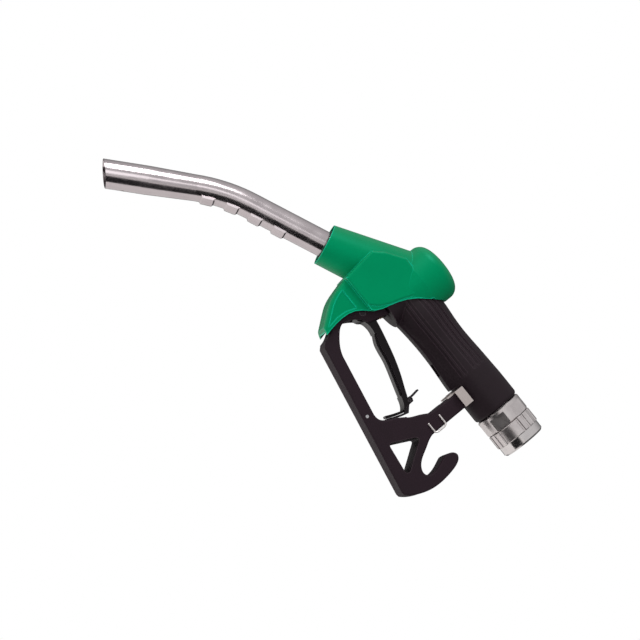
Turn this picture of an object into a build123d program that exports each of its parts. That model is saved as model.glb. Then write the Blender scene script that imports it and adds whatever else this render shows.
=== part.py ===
from build123d import *
import math
import os

os.makedirs("parts", exist_ok=True)

# Frame: millimetres, +X along the handle towards the hose, +Z up, origin at the centre of the
# hose inlet face.  The object is symmetric about the XZ plane apart from a few small fittings.

# Fits
RUNNING = 0.05          # radial gap of a moving fit
SEATED = 0.02           # radial gap of a part seated in its own assembly
CLEAR = 0.3             # gap between neighbours that only pass each other

# Handle and grip
GRIP_RADIUS = 19.9
GRIP_WAIST_RADIUS = 18.3
GRIP_START = -34.5
GRIP_END = -150.0
FLUTE_DEPTH = 0.6
FLUTE_WIDTH_ANGLE = 8.0
KEEL_HALF_WIDTH = 5.0
TUBE_RADIUS = 15.0
TUBE_BORE_RADIUS = 10.0
TUBE_END = -36.0

# Hose swivel
SWIVEL_RADIUS = 19.5
END_RING_RADIUS = 18.5
END_RING_LENGTH = 8.0
NUT_LENGTH = 12.0
FLAT_RING_LENGTH = 13.5
HOSE_THREAD_RADIUS = 12.05
HOSE_THREAD_LENGTH = 10.5
SLEEVE_RADIUS = 13.0
SWIVEL_BORE_RADIUS = 9.5
SWIVEL_BALL_RADIUS = 1.5

# Vertical valve chamber
VALVE_X = -152.0
CHAMBER_RADIUS = 16.2
CHAMBER_BORE_RADIUS = 13.5
CHAMBER_TOP = 21.0
CHAMBER_BOTTOM = -21.0
SEAT_TOP = -9.0
SEAT_THICKNESS = 3.0
SEAT_BORE_RADIUS = 9.0
LOWER_CHAMBER_DEPTH = 5.5
FLANGE_RADIUS = 19.2
FLANGE_THICKNESS = 7.0
STEM_RADIUS = 2.5
POPPET_GAP = 1.3
POPPET_RIM = 0.6
SEAL_LAP = 0.2
CAP_SCREW_CIRCLE = 17.0
CAP_SCREW_COUNT = 6

# Spout and its socket
SPOUT_RADIUS = 10.5
SPOUT_WALL = 1.2
SPOUT_FLARE = 1.0
SPOUT_ANGLE = 24.2
SPOUT_BEND_ANGLE = 19.1
SPOUT_BEND_RADIUS = 140.0
SPOUT_BASE_LENGTH = 64.8
SPOUT_TIP_LENGTH = 72.0
SPOUT_FLARE_LENGTH = 38.0
SPOUT_INSERT = 38.0
SPOUT_CUT_ANGLE = 12.0
COLLAR_END = (-220.5, -25.8)
SOCKET_WALL = 4.4
RIB_HEIGHT = 1.5
RIB_LENGTH = 11.0
RIB_PITCH = 20.8
FIRST_RIB = 37.0

# Cover
COVER_WALL = 1.9
COLLAR_GAP = 0.2
DOME_X = -149.8
DOME_RADIUS = 24.4
DOME_TOP = 35.6
CHEEK_HALF_WIDTH = 21.5
CHEEK_STEP = 1.3
BEAK_HALF_WIDTH = 16.5

# Lever, catch and guard
PIVOT = (-160.0, -39.0)
PIVOT_PIN_RADIUS = 2.5
LEVER_HALF_WIDTH = 8.0
LEVER_WALL = 2.0
LEVER_FLOOR = 2.95
FINGER_PAD_HALF_WIDTH = 5.2
FINGER_PAD_HEIGHT = 1.9
TAIL_RADIUS = 84.3
TAIL_THICKNESS = 2.0
TAIL_HALF_WIDTH = 4.6
CATCH_PIN = (-83.5, -52.8)
CATCH_THICKNESS = 1.6
CATCH_HALF_WIDTH = 3.6
GUARD_HALF_WIDTH = 12.0
GUARD_EDGE_ROUND = 1.4
RIVET_RADIUS = 0.9
RIVET_HEAD_RADIUS = 1.3
RIVET_HEAD_HEIGHT = 0.4
SLOT_HALF_WIDTH = 6.5

SPOUT_BORE_RADIUS = SPOUT_RADIUS - SPOUT_WALL
POPPET_RADIUS = CHAMBER_BORE_RADIUS - POPPET_GAP
SEAL_RADIUS = POPPET_RADIUS - POPPET_RIM
SEAL_BORE_RADIUS = SEAT_BORE_RADIUS + SEAL_LAP
SPOUT_TIP_RADIUS = SPOUT_RADIUS + SPOUT_FLARE
SOCKET_RADIUS = SPOUT_RADIUS + SOCKET_WALL
COLLAR_RADIUS = SOCKET_RADIUS + COLLAR_GAP + COVER_WALL
NUT_START = -END_RING_LENGTH
NUT_END = NUT_START - NUT_LENGTH
FLAT_RING_END = NUT_END - 0.5 - FLAT_RING_LENGTH
LOWER_CHAMBER_BOTTOM = SEAT_TOP - SEAT_THICKNESS - LOWER_CHAMBER_DEPTH


def rod_x(x0, x1, radius, y=0.0, z=0.0):
    body = Cylinder(radius, abs(x1 - x0))
    return Pos((x0 + x1) / 2, y, z) * Rot(0, 90, 0) * body


def rod_y(x, z, radius, y0, y1):
    body = Cylinder(radius, abs(y1 - y0))
    return Pos(x, (y0 + y1) / 2, z) * Rot(90, 0, 0) * body


def rod_z(x, z0, z1, radius, y=0.0):
    body = Cylinder(radius, abs(z1 - z0))
    return Pos(x, y, (z0 + z1) / 2) * body


def block(x0, x1, y0, y1, z0, z1):
    body = Box(abs(x1 - x0), abs(y1 - y0), abs(z1 - z0))
    return Pos((x0 + x1) / 2, (y0 + y1) / 2, (z0 + z1) / 2) * body


def to_side(points):
    return [(x, 0.0, z) for x, z in points]


def side_face(points):
    return make_face(Polyline(*to_side(points), close=True))


def side_plate(points, half_width):
    return extrude(side_face(points), half_width, dir=(0, 1, 0), both=True)


def curve_plate(curves, half_width):
    return extrude(make_face(curves), half_width, dir=(0, 1, 0), both=True)


def smooth(points):
    return Spline(*to_side(points))


def line(points):
    return Polyline(*to_side(points))


def tilted_frame(x, z, angle):
    slope = math.radians(angle)
    forward = (-math.cos(slope), 0, -math.sin(slope))
    return Plane(origin=(x, 0, z), x_dir=(0, 1, 0), z_dir=forward).location


def coil(x, z0, z1, mean_radius, wire_radius, turns):
    height = z1 - z0 - 2 * wire_radius
    path = Helix(pitch=height / turns, height=height, radius=mean_radius)
    start = Plane(origin=path @ 0, z_dir=path % 0)
    wire = sweep(start * Circle(wire_radius), path=path)
    return Pos(x, 0, z0 + wire_radius) * wire


SOCKET = tilted_frame(COLLAR_END[0], COLLAR_END[1], SPOUT_ANGLE)


def along_spout(s0, s1, radius):
    return SOCKET * Pos(0, 0, (s0 + s1) / 2) * Cylinder(radius, abs(s1 - s0))


def bend_start():
    return SOCKET * Pos(0, 0, SPOUT_BASE_LENGTH)


def bend_centre():
    slope = math.radians(SPOUT_ANGLE)
    x = COLLAR_END[0] - SPOUT_BASE_LENGTH * math.cos(slope) + SPOUT_BEND_RADIUS * math.sin(slope)
    z = COLLAR_END[1] - SPOUT_BASE_LENGTH * math.sin(slope) - SPOUT_BEND_RADIUS * math.cos(slope)
    return x, z


def bend_frame(angle):
    x, z = bend_centre()
    slope = math.radians(SPOUT_ANGLE + angle)
    x = x - SPOUT_BEND_RADIUS * math.sin(slope)
    z = z + SPOUT_BEND_RADIUS * math.cos(slope)
    return tilted_frame(x, z, SPOUT_ANGLE + angle)


def bent_rod(radius, start, tip_length, tip_radius, offset=0.0):
    base = SOCKET * Pos(0, offset, (start + SPOUT_BASE_LENGTH) / 2)
    base = base * Cylinder(radius, SPOUT_BASE_LENGTH - start)
    x, z = bend_centre()
    ring = bend_start() * Pos(0, offset, 0) * Circle(radius)
    bend = revolve(ring, axis=Axis((x, 0, z), (0, -1, 0)), revolution_arc=SPOUT_BEND_ANGLE)
    frame = bend_frame(SPOUT_BEND_ANGLE) * Pos(0, offset, 0)
    if tip_radius == radius:
        return base + bend + frame * Pos(0, 0, tip_length / 2) * Cylinder(radius, tip_length)
    flare = frame * Pos(0, 0, SPOUT_FLARE_LENGTH / 2) * Cone(radius, tip_radius, SPOUT_FLARE_LENGTH)
    straight = tip_length - SPOUT_FLARE_LENGTH
    tip = frame * Pos(0, 0, tip_length - straight / 2) * Cylinder(tip_radius, straight)
    return base + bend + flare + tip


def tip_cut():
    frame = bend_frame(SPOUT_BEND_ANGLE) * Pos(0, 0, SPOUT_TIP_LENGTH) * Rot(-SPOUT_CUT_ANGLE, 0, 0)
    return frame * Pos(0, 0, 20) * Box(60, 60, 40)


def on_circle(count, radius, start=0.0):
    for index in range(count):
        angle = math.radians(start + 360.0 * index / count)
        yield radius * math.cos(angle), radius * math.sin(angle)


def around_pivot(radius, angle):
    turn = math.radians(angle)
    return PIVOT[0] + radius * math.cos(turn), PIVOT[1] + radius * math.sin(turn)


def arc_band(inner, outer, low, high, half_width):
    steps = 8
    angles = [low + (high - low) * i / steps for i in range(steps + 1)]
    outside = smooth([around_pivot(outer, a) for a in angles])
    inside = smooth([around_pivot(inner, a) for a in angles])
    ends = [line([around_pivot(inner, a), around_pivot(outer, a)]) for a in (low, high)]
    return curve_plate([outside, inside] + ends, half_width)


# ---------------------------------------------------------------- cast body
def nozzle_body():
    body = rod_x(TUBE_END, VALVE_X, TUBE_RADIUS)
    body += rod_z(VALVE_X, CHAMBER_BOTTOM, CHAMBER_TOP, CHAMBER_RADIUS)
    body += rod_z(VALVE_X, CHAMBER_TOP - FLANGE_THICKNESS, CHAMBER_TOP, FLANGE_RADIUS)
    body += along_spout(-62, -6, SOCKET_RADIUS)
    body += rod_z(VALVE_X, CHAMBER_BOTTOM - 5, CHAMBER_BOTTOM + 1, 6.0)
    px, pz = PIVOT
    body += side_plate([(px - 6, -15), (px + 2, -15), (px + 2, -30.5), (px + 4.4, -32.5),
                        (px + 4.4, pz), (px - 4.8, pz)], 4.0)
    body += rod_y(px, pz, 4.8, -4.0, 4.0)
    body -= rod_z(VALVE_X, SEAT_TOP, CHAMBER_TOP, CHAMBER_BORE_RADIUS)
    body -= rod_z(VALVE_X, SEAT_TOP - SEAT_THICKNESS, SEAT_TOP, SEAT_BORE_RADIUS + 3.8)
    body -= rod_z(VALVE_X, LOWER_CHAMBER_BOTTOM, SEAT_TOP - SEAT_THICKNESS, SEAT_BORE_RADIUS + 2)
    duct_top = SEAT_TOP - SEAT_THICKNESS
    body -= block(VALVE_X - 28, VALVE_X, -7.0, 7.0, LOWER_CHAMBER_BOTTOM, duct_top)
    body -= along_spout(-52, 0, SPOUT_RADIUS + SEATED)
    body -= rod_x(TUBE_END, TUBE_END - 16, SLEEVE_RADIUS)
    body -= rod_x(TUBE_END, -128, TUBE_BORE_RADIUS)
    body -= rod_x(-127, -140, 7.5, z=1.5)
    body -= rod_z(VALVE_X, CHAMBER_BOTTOM - 6, LOWER_CHAMBER_BOTTOM + 1, STEM_RADIUS + 0.2)
    body -= rod_z(VALVE_X, CHAMBER_BOTTOM - 5, CHAMBER_BOTTOM, 4.0)
    body -= rod_y(px, pz, PIVOT_PIN_RADIUS + SEATED, -5, 5)
    for x, y in on_circle(CAP_SCREW_COUNT, CAP_SCREW_CIRCLE, 30):
        body -= rod_z(VALVE_X + x, CHAMBER_TOP - 6.5, CHAMBER_TOP, 1.25 + SEATED, y)
    body -= SOCKET * Pos(0, SOCKET_RADIUS, -30) * Rot(90, 0, 0) * Cylinder(2.0, 16)
    body -= rod_z(-58.5, -TUBE_RADIUS - 1, -11.5, 1.5 + SEATED)
    return body


GRIP_CROWN = [
    (GRIP_END, GRIP_RADIUS - 1.9),
    (GRIP_END + 6, GRIP_RADIUS - 1.6),
    (-138, GRIP_RADIUS - 0.6),
    (-126, GRIP_RADIUS + 0.1),
    (-118, GRIP_RADIUS - 0.5),
    (-110, GRIP_WAIST_RADIUS + 0.4),
    (-100, GRIP_WAIST_RADIUS),
    (-80, GRIP_RADIUS - 0.9),
    (-60, GRIP_RADIUS - 0.2),
    (GRIP_START - 3, GRIP_RADIUS),
]


def grip_flute(turn):
    floor = [(x, r - FLUTE_DEPTH) for x, r in GRIP_CROWN if -146 < x < -70]
    floor = [(-147, GRIP_RADIUS - 2.2)] + floor + [(-74, GRIP_RADIUS - 1.1), (-66, GRIP_RADIUS + 0.6)]
    over = line([floor[-1], (-66, 26), (-147, 26), floor[0]])
    groove = revolve(make_face([smooth(floor), over]), axis=Axis.X, revolution_arc=FLUTE_WIDTH_ANGLE)
    return Rot(turn - FLUTE_WIDTH_ANGLE / 2, 0, 0) * groove


def keel_section(x, radius, depth):
    reach = math.hypot(KEEL_HALF_WIDTH, depth)
    touch = math.atan2(-depth, KEEL_HALF_WIDTH) + math.acos(radius / reach)
    y, z = radius * math.cos(touch), radius * math.sin(touch)
    crown = ThreePointArc((x, y, z), (x, 0, radius), (x, -y, z))
    left = Line((x, -y, z), (x, -KEEL_HALF_WIDTH, -depth))
    bottom = ThreePointArc((x, -KEEL_HALF_WIDTH, -depth), (x, 0, -depth - 0.5),
                           (x, KEEL_HALF_WIDTH, -depth))
    right = Line((x, KEEL_HALF_WIDTH, -depth), (x, y, z))
    return make_face([crown, left, bottom, right])


def grip_sleeve():
    rounded = (GRIP_START, GRIP_RADIUS - 2.5)
    crown = Spline(*to_side(GRIP_CROWN), tangents=[(1, 0, 0), (1, 0, 0)])
    nose = TangentArc(to_side([GRIP_CROWN[-1], rounded]), tangent=(1, 0, 0))
    sides = line([rounded, (GRIP_START, 0), (GRIP_END, 0), GRIP_CROWN[0]])
    outer = revolve(make_face([crown, nose, sides]), axis=Axis.X)
    for turn in (56, 71, 84, 109, 121):
        outer -= grip_flute(turn)
        outer -= grip_flute(-turn)
    outer += loft([keel_section(-147.5, 17.3, 23.4), keel_section(-138, 18.2, 21.4),
                   keel_section(-126, 18.6, 20.1), keel_section(-110, 17.9, 19.3),
                   keel_section(-90, 17.9, 19.8), keel_section(-68.5, 18.6, 21.2)])
    skirt = rod_z(VALVE_X, -22.2, 4, CHAMBER_RADIUS + 1.6)
    outer += skirt & block(-164, -120, -25, 25, -30, 10)
    outer -= rod_x(0, -160, TUBE_RADIUS + SEATED)
    outer -= rod_z(VALVE_X, -21.3, 30, CHAMBER_RADIUS + SEATED)
    outer -= rod_z(VALVE_X, CHAMBER_TOP - FLANGE_THICKNESS - 0.3, 30, FLANGE_RADIUS + 0.3)
    outer -= rod_z(VALVE_X, -27, -20, 6.3)
    outer -= block(-168, -155, -7, 7, -30, -10)
    outer -= along_spout(-90, 0, SOCKET_RADIUS + CLEAR)
    outer -= arc_band(69, 79.5, 4, 19.5, CATCH_HALF_WIDTH + 0.8)
    outer -= block(-66.9, -51.6, -20, 20, -30, -19.6)
    outer -= rod_z(-58.5, -22, -14, 1.5 + SEATED)
    return outer


# ---------------------------------------------------------------- green cover
def rear_edge():
    dome = [(-125.0, 24.5), (-131.5, 13.5), (-137, 6.5), (-142, 0.5), (-146, -6)]
    cheek = [(-149, -13), (-151, -20), (-152.5, -26), (-155, -31.5), (-158.5, -35.5)]
    beak = [(-162, -39.5), (-164.7, -44), (-166.2, -49), (-166.7, -55), (-166.2, -62)]
    return dome + cheek + beak + [(-165.2, -68), (-163.8, -74)]


def collar_loft(end_radius, root_width, root_height, end, root):
    lift = root_height - end_radius
    near = SOCKET * Pos(0, 0, end) * Circle(end_radius)
    far = SOCKET * Pos(0, -lift, root) * Ellipse(root_width, root_height)
    return loft([near, far])


def dome_solid(radius, top, corner):
    upper = rod_z(DOME_X, 12, top, radius)
    upper = fillet(upper.edges().sort_by(Axis.Z)[-1], corner)
    lower = Pos(DOME_X, 0, 1) * Cone(radius - 5.5, radius, 22)
    return upper + lower


def beak_solid(inset, half_width, corner):
    front = [(-190.5, -20), (-190.2, -30), (-188.6, -37), (-187, -43), (-184.8, -50)]
    front += [(-181.8, -56), (-177.4, -62), (-171.5, -69.6), (-166.8, -75.4)]
    edge = smooth([(x + inset, z + inset * 0.6) for x, z in front])
    last = (front[-1][0] + inset, front[-1][1] + inset * 0.6)
    first = (front[0][0] + inset, front[0][1] + inset * 0.6)
    body = curve_plate([edge, line([last, (-155, last[1]), (-140, first[1]), first])], half_width)
    rims = [e for e in body.edges() if e.center().X < -172 and abs(e.center().Y) > half_width - 0.1
            and e.center().Z < first[1] - 3]
    return fillet(rims, corner)


def body_cover():
    hw = CHEEK_HALF_WIDTH
    cheek = [(-193.2, -4), (-192.4, -14), (-189.6, -34), (-162, -34), (-156, -28), (-151.5, -19)]
    cheek += [(-148.5, -9), (-140, 12), (-172, 14), (-186, 4)]
    raised = side_plate(cheek, hw)
    raised = fillet([e for e in raised.edges() if abs(e.center().Y) > hw - 0.1], 2.2)
    base_width = hw - CHEEK_STEP
    base = side_plate([(-189, -34), (-140, -34), (-140, 14), (-172, 14), (-189, 0)], base_width)
    outer = dome_solid(DOME_RADIUS, DOME_TOP, 8.5)
    root_width = CHEEK_HALF_WIDTH - 0.7
    root_height = COLLAR_RADIUS + 6.3
    outer += collar_loft(COLLAR_RADIUS, root_width, root_height, 0, -78)
    outer += raised
    outer += base
    outer += beak_solid(0, BEAK_HALF_WIDTH, 5)
    wall = COVER_WALL
    cavity = dome_solid(DOME_RADIUS - wall, DOME_TOP - wall, 7)
    cavity += collar_loft(COLLAR_RADIUS - 1.5, root_width - wall, root_height - wall, 5, -80)
    cavity += side_plate([(-187, -31.8), (-130, -31.8), (-130, 12), (-172, 10), (-187, -2)],
                         base_width - wall)
    cavity += beak_solid(wall + 0.2, BEAK_HALF_WIDTH - wall, 4)
    behind = rear_edge() + [(-163.8, -90), (-80, -90), (-80, 60), (-125.0, 60)]
    behind[0] = (-123.8, 24.5)
    behind[-1] = (-123.8, 60)
    cover = outer - cavity
    cover -= side_plate(behind, 40)
    cover -= side_plate([(-155, -75.1), (-166.5, -72.4), (-180, -68.5), (-190, -95), (-155, -95)], 40)
    cover -= rod_x(-120, -160, GRIP_RADIUS) & block(-160, -120, -30, 30, -3, 30)
    panel = beak_solid(3.2, BEAK_HALF_WIDTH + 2, 1)
    panel &= side_plate([(-186, -41.5), (-166, -41.5), (-169, -50), (-169.5, -58), (-167.5, -70),
                         (-188, -70)], 40)
    cover -= panel - block(-200, -150, -BEAK_HALF_WIDTH + 0.7, BEAK_HALF_WIDTH - 0.7, -80, -30)
    return cover


# ---------------------------------------------------------------- spout
def spout_tube():
    tube = bent_rod(SPOUT_RADIUS, -SPOUT_INSERT, SPOUT_TIP_LENGTH + 5, SPOUT_TIP_RADIUS)
    ribs = Cylinder(SPOUT_RADIUS + RIB_HEIGHT, RIB_LENGTH)
    ribs = chamfer(ribs.edges().filter_by(GeomType.CIRCLE), RIB_HEIGHT * 0.8)
    ribs &= Pos(0, SPOUT_RADIUS * 1.15, 0) * Box(2 * SPOUT_RADIUS * 0.8, SPOUT_RADIUS, RIB_LENGTH)
    for index in range(4):
        reach = FIRST_RIB + index * RIB_PITCH
        if reach < SPOUT_BASE_LENGTH:
            tube += SOCKET * Pos(0, 0, reach) * ribs
        else:
            inner = SPOUT_BEND_RADIUS - 0.4 * SPOUT_RADIUS
            angle = math.degrees((reach - SPOUT_BASE_LENGTH) / inner)
            tube += bend_frame(angle) * ribs
    bore_tip = SPOUT_TIP_RADIUS - SPOUT_WALL
    tube -= bent_rod(SPOUT_BORE_RADIUS, -SPOUT_INSERT - 1, SPOUT_TIP_LENGTH + 6, bore_tip)
    tube -= tip_cut()
    vent = bend_frame(SPOUT_BEND_ANGLE) * Pos(0, SPOUT_RADIUS, SPOUT_TIP_LENGTH - 16)
    tube -= vent * Rot(90, 0, 0) * Cylinder(1.5, 8)
    tube -= SOCKET * Pos(0, SPOUT_RADIUS, -30) * Rot(90, 0, 0) * Cylinder(2.0, 4)
    return tube


def sensing_tube():
    offset = SPOUT_BORE_RADIUS - 1.8 - SEATED
    reach = SPOUT_TIP_LENGTH - 12
    tube = bent_rod(1.8, -SPOUT_INSERT + 2, reach, 1.8, offset)
    tube -= bent_rod(1.1, -SPOUT_INSERT + 1, reach - 1, 1.1, offset)
    vent = bend_frame(SPOUT_BEND_ANGLE) * Pos(0, offset + 1, SPOUT_TIP_LENGTH - 16)
    return tube - vent * Rot(90, 0, 0) * Cylinder(0.9, 3)


def spout_ferrule():
    middle = bend_frame(SPOUT_BEND_ANGLE) * Pos(0, 0, SPOUT_TIP_LENGTH - 14)
    ring = middle * Cylinder(SPOUT_TIP_RADIUS - SPOUT_WALL - SEATED, 12)
    ring -= middle * Cylinder(SPOUT_BORE_RADIUS - 1.1, 14)
    return ring - middle * Pos(0, SPOUT_BORE_RADIUS - 2.0, 0) * Box(4.0, 8.0, 14)


def spout_ring():
    ring = along_spout(-5.5, -1.5, SOCKET_RADIUS + 0.2)
    return ring - along_spout(-7, 0, SPOUT_RADIUS + SEATED)


def o_ring_on_spout():
    frame = SOCKET * Pos(0, 0, -0.75)
    return frame * Torus(SPOUT_RADIUS + 0.8, 0.75)


def spout_screw():
    depth = SOCKET_WALL + 0.6
    screw = SOCKET * Pos(0, SPOUT_RADIUS - 0.9 + depth / 2, -30) * Rot(90, 0, 0)
    body = screw * Cylinder(2.0 - SEATED, depth)
    socket = SOCKET * Pos(0, SPOUT_RADIUS - 0.9 + depth, -30) * Rot(90, 0, 0)
    return body - socket * extrude(RegularPolygon(1.1, 6), 1.6, both=True)


def check_disc():
    disc = along_spout(-50.5, -48.3, 8.2)
    disc += along_spout(-48.5, -40.5, 2.2)
    return disc


def check_spring():
    frame = SOCKET * Pos(0, 0, -48.25)
    return frame * coil(0, 0, 9.0, 4.2, 0.45, 4)


def check_cage():
    ring = along_spout(-41.0, -38.1, SPOUT_RADIUS - SEATED)
    ring -= along_spout(-42, -37, 7.2)
    spokes = SOCKET * Pos(0, 0, -38.6) * Box(15.0, 1.6, 0.9)
    spokes += SOCKET * Pos(0, 0, -38.6) * Box(1.6, 15.0, 0.9)
    spokes += along_spout(-39.2, -38.1, 5.0)
    return ring + spokes


# ---------------------------------------------------------------- main valve
def valve_seat():
    ring = rod_z(VALVE_X, SEAT_TOP - SEAT_THICKNESS, SEAT_TOP, SEAT_BORE_RADIUS + 3.8 - SEATED)
    return ring - rod_z(VALVE_X, SEAT_TOP - 5, SEAT_TOP + 2, SEAT_BORE_RADIUS)


def valve_poppet():
    body = rod_z(VALVE_X, SEAT_TOP + 0.3, SEAT_TOP + 4, POPPET_RADIUS)
    body += rod_z(VALVE_X, SEAT_TOP + 3, SEAT_TOP + 14, 5.0)
    groove = rod_z(VALVE_X, SEAT_TOP, SEAT_TOP + 1.6, SEAL_RADIUS)
    groove -= rod_z(VALVE_X, SEAT_TOP, 0, SEAL_BORE_RADIUS)
    body -= groove
    body -= rod_z(VALVE_X, SEAT_TOP - 1, 10, STEM_RADIUS + SEATED)
    return body - Pos(VALVE_X, 0, 2) * Torus(2.5, 1.3)


def poppet_seal():
    ring = rod_z(VALVE_X, SEAT_TOP + RUNNING, SEAT_TOP + 1.6, SEAL_RADIUS)
    return ring - rod_z(VALVE_X, SEAT_TOP - 1, 0, SEAL_BORE_RADIUS)


def stem_end():
    return PIVOT[1] + 1.1


def valve_stem():
    low = stem_end()
    stem = rod_z(VALVE_X, low + STEM_RADIUS, 8, STEM_RADIUS)
    stem += Pos(VALVE_X, 0, low + STEM_RADIUS) * Sphere(STEM_RADIUS)
    stem += rod_z(VALVE_X, SEAT_TOP - 2, SEAT_TOP + 0.28, 4.2)
    stem -= rod_z(VALVE_X, -5.5, 9, 1.05 + RUNNING)
    for x, y in on_circle(3, 2.5):
        hole = Pos(VALVE_X + x, y, 2) * Rot(0, 0, math.degrees(math.atan2(y, x))) * Rot(0, 90, 0)
        stem -= hole * Cylinder(1.15, 4)
    return stem


def latch_balls():
    balls = [Pos(VALVE_X + x, y, 2) * Sphere(1.1) for x, y in on_circle(3, 2.2)]
    return Compound(children=balls)


def latch_pin():
    pin = rod_z(VALVE_X, -1.5, 26.2, 1.05)
    pin -= rod_z(VALVE_X, 0.6, 3.4, 2.0) - rod_z(VALVE_X, 0, 4, 0.8)
    return pin + rod_z(VALVE_X, 25.0, 26.2, 2.6)


def valve_cap():
    cap = rod_z(VALVE_X, 15.5, 19.0, CHAMBER_BORE_RADIUS - SEATED)
    cap += rod_z(VALVE_X, 12.5, 15.6, 5.0)
    cap -= rod_z(VALVE_X, 10, 20, 1.05 + RUNNING)
    for x, y in on_circle(2, 9.0):
        cap -= rod_z(VALVE_X + x, 17.0, 20, 1.5, y)
    return cap


def valve_spring():
    return coil(VALVE_X, SEAT_TOP + 4, 15.5, 8.2, 0.9, 5)


def stem_packing():
    ring = rod_z(VALVE_X, CHAMBER_BOTTOM - 2.4, CHAMBER_BOTTOM, 4.0 - SEATED)
    return ring - rod_z(VALVE_X, -30, -15, STEM_RADIUS + RUNNING)


def gland_nut():
    nut = rod_z(VALVE_X, CHAMBER_BOTTOM - 6, CHAMBER_BOTTOM - 2.4, 4.0 - SEATED)
    head = extrude(RegularPolygon(5.0, 6), 2.4)
    nut += Pos(VALVE_X, 0, CHAMBER_BOTTOM - 7.4) * head
    return nut - rod_z(VALVE_X, -35, -15, STEM_RADIUS + RUNNING)


# ---------------------------------------------------------------- shut-off diaphragm
def screw_holes(z0, z1, radius):
    holes = [rod_z(VALVE_X + x, z0, z1, radius, y) for x, y in
             on_circle(CAP_SCREW_COUNT, CAP_SCREW_CIRCLE, 30)]
    return Compound(children=holes)


def diaphragm():
    disc = rod_z(VALVE_X, CHAMBER_TOP, CHAMBER_TOP + 0.8, FLANGE_RADIUS - 0.1)
    disc += Pos(VALVE_X, 0, CHAMBER_TOP + 0.8) * Torus(11.0, 0.7)
    disc -= rod_z(VALVE_X, CHAMBER_TOP - 1, CHAMBER_TOP + 2, 1.3)
    return disc - screw_holes(CHAMBER_TOP - 1, CHAMBER_TOP + 2, 1.3)


def diaphragm_plate():
    plate = rod_z(VALVE_X, CHAMBER_TOP + 0.85, CHAMBER_TOP + 2.0, 8.0)
    plate += rod_z(VALVE_X, CHAMBER_TOP + 1.9, CHAMBER_TOP + 3.98, 2.8)
    return plate - rod_z(VALVE_X, CHAMBER_TOP - 1, CHAMBER_TOP + 6, 1.05 + SEATED)


def diaphragm_cap():
    base = CHAMBER_TOP + 0.8
    cap = rod_z(VALVE_X, base, base + 3, FLANGE_RADIUS)
    cap += rod_z(VALVE_X, base, base + 10, 14.0)
    cap = fillet(cap.edges().sort_by(Axis.Z)[-1], 2)
    cap -= rod_z(VALVE_X, base - 1, base + 8, 12.0)
    return cap - screw_holes(base - 1, base + 4, 1.3)


def diaphragm_spring():
    return coil(VALVE_X, CHAMBER_TOP + 2.0, CHAMBER_TOP + 8.8, 5.0, 0.5, 3)


def cap_screws():
    base = CHAMBER_TOP + 3.8
    screws = []
    for x, y in on_circle(CAP_SCREW_COUNT, CAP_SCREW_CIRCLE, 30):
        screw = rod_z(VALVE_X + x, base - 9, base, 1.25, y)
        screw += rod_z(VALVE_X + x, base, base + 1.6, 2.2, y)
        screws.append(screw - rod_z(VALVE_X + x, base + 0.7, base + 2, 1.0, y))
    return Compound(children=screws)


# ---------------------------------------------------------------- lever
LEVER_TOP = [(-148.5, -33.3), (-141.5, -34.6), (-131.5, -36.9), (-121.5, -39.4), (-111.5, -42.4),
             (-101.5, -46.1), (-91.5, -50.4), (-84.5, -53.7), (-80.4, -58.8)]
LEVER_UNDER = [(-151.5, -40.95), (-146, -40.35), (-141, -41.35), (-136, -43.85), (-131, -45.45),
               (-120.7, -47.15), (-110.6, -49.85), (-100.5, -53.05), (-90.4, -56.15), (-85, -57.9)]


def hand_lever():
    px, pz = PIVOT
    under_start = (px, pz - 6.8)
    top_start = (px, pz + 6.6)
    tail_top = around_pivot(TAIL_RADIUS - TAIL_THICKNESS, -15.5)
    tail_back = around_pivot(TAIL_RADIUS, -15.5)
    top = smooth([top_start] + LEVER_TOP)
    under = smooth([under_start] + LEVER_UNDER + [tail_top])
    blade = curve_plate([top, line([LEVER_TOP[-1], tail_back, tail_top]), under,
                         line([under_start, top_start])], LEVER_HALF_WIDTH)
    blade += rod_y(px, pz, 6.8, -LEVER_HALF_WIDTH, LEVER_HALF_WIDTH)
    floor = [(x, z + LEVER_FLOOR) for x, z in LEVER_UNDER[:-1]]
    roof = [(-92, -40), (-140, -25), (px - 12, -25)]
    channel = curve_plate([smooth(floor), line([floor[-1]] + roof + [(px - 12, pz), (px, pz),
                           floor[0]])], LEVER_HALF_WIDTH - LEVER_WALL)
    channel += rod_y(px, pz, 5.4, -LEVER_HALF_WIDTH + LEVER_WALL, LEVER_HALF_WIDTH - LEVER_WALL)
    blade -= channel
    ledge = [(x, z + FINGER_PAD_HEIGHT) for x, z in LEVER_UNDER[2:-1]]
    rebate = curve_plate([smooth(ledge), line([ledge[-1], (ledge[-1][0], -75), (ledge[0][0], -75),
                         ledge[0]])], 20)
    blade -= rebate - block(-200, -60, -FINGER_PAD_HALF_WIDTH, FINGER_PAD_HALF_WIDTH, -80, -30)
    cx, cz = CATCH_PIN
    ear = [(cx - 3, cz - 4), (cx - 2.6, cz + 2), (cx, cz + 3), (cx + 2.2, cz + 2), (cx + 2.6, cz - 4)]
    slot = side_plate([(cx - 3.4, cz - 3.0), (cx - 3.4, cz + 6), (cx + 8, cz + 6), (cx + 8, cz - 3.0)],
                      LEVER_HALF_WIDTH - LEVER_WALL)
    blade += side_plate(ear, LEVER_HALF_WIDTH) - side_plate(ear, LEVER_HALF_WIDTH - LEVER_WALL)
    blade -= slot
    blade += arc_band(TAIL_RADIUS - TAIL_THICKNESS, TAIL_RADIUS, -26.0, -15.3, TAIL_HALF_WIDTH)
    blade -= rod_y(px, pz, PIVOT_PIN_RADIUS + RUNNING, -20, 20)
    return blade - rod_y(cx, cz, 1.25 + SEATED, -20, 20)


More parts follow.
